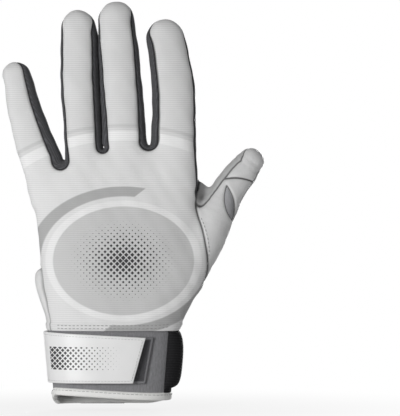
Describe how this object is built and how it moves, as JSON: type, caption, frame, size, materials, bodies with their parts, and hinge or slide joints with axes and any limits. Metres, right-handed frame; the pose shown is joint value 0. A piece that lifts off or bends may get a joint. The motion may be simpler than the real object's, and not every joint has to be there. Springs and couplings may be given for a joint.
{
  "type": "padded inner glove",
  "caption": "Padded inner glove for a left hand, with a knit back, a leather palm with stitched pads, a stretch cuff, a hook-and-loop wrist strap and a pull tab.",
  "frame": {"origin": "centre of the wrist opening, at the lower edge of the cuff", "axes": "+Z towards the fingertips, -Y out of the back of the hand, +Y out of the palm, +X to the thumb"},
  "size_m": [0.1574, 0.0478, 0.2475],
  "materials": {
    "knit_back": "matte ribbed knit",
    "palm_leather": "fine-grained, soft",
    "side_strip": "matte stretch mesh",
    "neoprene_cuff": "matte",
    "stretch_gusset": "matte",
    "edge_binding": "matte",
    "hook_and_loop": "fuzzy",
    "strap_white": "smooth synthetic",
    "tab_webbing": "woven"
  },
  "bodies": {
    "hand": {"hand_back": "knit_back", "hand_palm": "palm_leather", "outer_side_panel": "palm_leather", "thumb_web_strip": "side_strip", "thumb_side_panel": "palm_leather", "little_ring_crotch": "side_strip", "ring_middle_crotch": "side_strip", "middle_index_crotch": "side_strip", "palm_pad": "palm_leather", "heel_pad": "palm_leather", "cuff_back": "neoprene_cuff", "cuff_palm": "neoprene_cuff", "cuff_gusset": "stretch_gusset", "hem_binding": "edge_binding", "palm_binding": "edge_binding", "loop_patch": "hook_and_loop", "strap_anchor": "strap_white"},
    "little_base": {"little_base_back": "knit_back", "little_base_palm": "palm_leather", "little_base_outer_strip": "side_strip", "little_base_inner_strip": "side_strip"},
    "little_tip": {"little_tip_back": "knit_back", "little_tip_palm": "palm_leather", "little_tip_strip": "side_strip"},
    "ring_base": {"ring_base_back": "knit_back", "ring_base_palm": "palm_leather", "ring_base_outer_strip": "side_strip", "ring_base_inner_strip": "side_strip", "ring_base_pad": "palm_leather"},
    "ring_tip": {"ring_tip_back": "knit_back", "ring_tip_palm": "palm_leather", "ring_tip_strip": "side_strip"},
    "middle_base": {"middle_base_back": "knit_back", "middle_base_palm": "palm_leather", "middle_base_outer_strip": "side_strip", "middle_base_inner_strip": "side_strip", "middle_base_pad": "palm_leather"},
    "middle_tip": {"middle_tip_back": "knit_back", "middle_tip_palm": "palm_leather", "middle_tip_strip": "side_strip", "middle_tip_pad": "palm_leather"},
    "index_base": {"index_base_back": "knit_back", "index_base_palm": "palm_leather", "index_base_outer_strip": "side_strip", "index_base_inner_strip": "side_strip", "index_base_pad": "palm_leather"},
    "index_tip": {"index_tip_back": "knit_back", "index_tip_palm": "palm_leather", "index_tip_strip": "side_strip", "index_tip_pad": "palm_leather"},
    "thumb_base": {"thumb_base_back": "knit_back", "thumb_base_palm": "palm_leather", "thumb_base_outer_strip": "side_strip", "thumb_base_inner_strip": "side_strip"},
    "thumb_tip": {"thumb_tip_back": "knit_back", "thumb_tip_palm": "palm_leather", "thumb_tip_strip": "side_strip"},
    "strap": {"strap": "strap_white", "hook_patch": "hook_and_loop"},
    "pull_tab": {"pull_tab": "tab_webbing"}
  },
  "joints": [
    {"name": "little_knuckle_fold", "type": "hinge", "parent": "hand", "child": "little_base", "pos_m": [-0.0419, 0.0087, 0.1409], "axis": [-0.9909, 0, -0.1349], "range_deg": [0, 75], "stiffness_Nm_per_rad": 0.03},
    {"name": "little_middle_fold", "type": "hinge", "parent": "little_base", "child": "little_tip", "pos_m": [-0.04693, 0.00913, 0.15902], "axis": [-0.9909, 0, -0.1349], "range_deg": [0, 80], "stiffness_Nm_per_rad": 0.02},
    {"name": "ring_knuckle_fold", "type": "hinge", "parent": "hand", "child": "ring_base", "pos_m": [-0.017, 0.0098, 0.1488], "axis": [-0.9998, 0, -0.0209], "range_deg": [0, 75], "stiffness_Nm_per_rad": 0.03},
    {"name": "ring_middle_fold", "type": "hinge", "parent": "ring_base", "child": "ring_tip", "pos_m": [-0.01797, 0.01037, 0.17205], "axis": [-0.9998, 0, -0.0209], "range_deg": [0, 80], "stiffness_Nm_per_rad": 0.02},
    {"name": "middle_knuckle_fold", "type": "hinge", "parent": "hand", "child": "middle_base", "pos_m": [0.009, 0.0102, 0.1504], "axis": [-0.9993, 0, -0.0384], "range_deg": [0, 75], "stiffness_Nm_per_rad": 0.03},
    {"name": "middle_middle_fold", "type": "hinge", "parent": "middle_base", "child": "middle_tip", "pos_m": [0.0071, 0.01083, 0.17505], "axis": [-0.9993, 0, -0.0384], "range_deg": [0, 80], "stiffness_Nm_per_rad": 0.02},
    {"name": "index_knuckle_fold", "type": "hinge", "parent": "hand", "child": "index_base", "pos_m": [0.0368, 0.0101, 0.15], "axis": [-0.9995, 0, -0.0314], "range_deg": [0, 75], "stiffness_Nm_per_rad": 0.03},
    {"name": "index_middle_fold", "type": "hinge", "parent": "index_base", "child": "index_tip", "pos_m": [0.03531, 0.01073, 0.17362], "axis": [-0.9995, 0, -0.0314], "range_deg": [0, 80], "stiffness_Nm_per_rad": 0.02},
    {"name": "thumb_base_fold", "type": "hinge", "parent": "hand", "child": "thumb_base", "pos_m": [0.0552, 0.0118, 0.0978], "axis": [-0.1498, 0, 0.9887], "range_deg": [0, 50], "stiffness_Nm_per_rad": 0.03},
    {"name": "thumb_tip_fold", "type": "hinge", "parent": "thumb_base", "child": "thumb_tip", "pos_m": [0.07547, 0.0192, 0.13477], "axis": [-0.8601, 0, 0.5101], "range_deg": [0, 65], "stiffness_Nm_per_rad": 0.02},
    {"name": "strap_open", "type": "hinge", "parent": "hand", "child": "strap", "pos_m": [-0.03959, -0.00459, 0.0251], "axis": [0.0698, 0.0006, -0.9976], "range_deg": [0, 110]},
    {"name": "pull_tab_lift", "type": "hinge", "parent": "hand", "child": "pull_tab", "pos_m": [-0.005, 0.0227, 0.0387], "axis": [1, 0, 0], "range_deg": [0, 80]}
  ]
}
